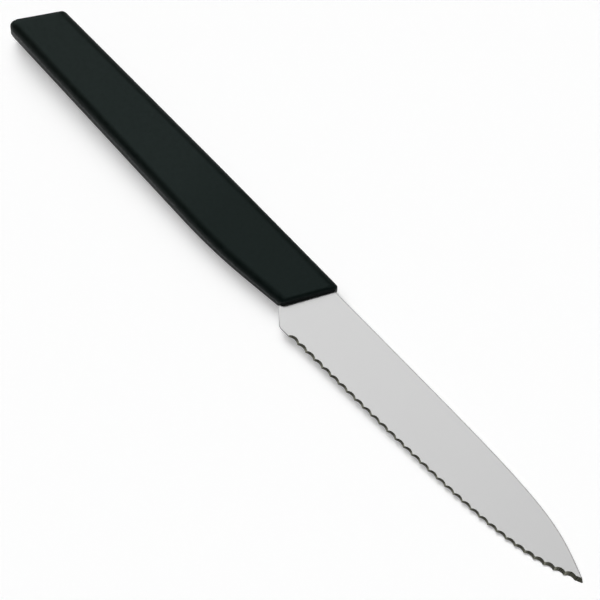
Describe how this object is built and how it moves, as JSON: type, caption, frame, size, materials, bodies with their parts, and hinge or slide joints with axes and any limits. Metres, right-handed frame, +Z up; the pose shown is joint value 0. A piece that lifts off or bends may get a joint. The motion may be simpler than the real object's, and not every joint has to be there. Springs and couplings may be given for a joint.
{
  "type": "serrated vegetable knife",
  "caption": "Slim kitchen knife: a pointed blade, scalloped along the edge by a grind on one face, moulded into a flat-sided plastic handle with slanted ends that thins towards the blade.",
  "frame": {"origin": "middle of the handle's lower flat, on which the knife lies", "axes": "+X along the spine to the tip, +Y from the edge to the spine, +Z up, out of the right face of the blade, which carries the ground scallops"},
  "size_m": [0.2051, 0.0179, 0.0091],
  "materials": {
    "steel": "fine satin grind, darker at the scallops",
    "plastic": "black, matte, with a fine moulded grain"
  },
  "bodies": {
    "root": {"blade": "steel", "handle": "plastic"}
  },
  "joints": []
}
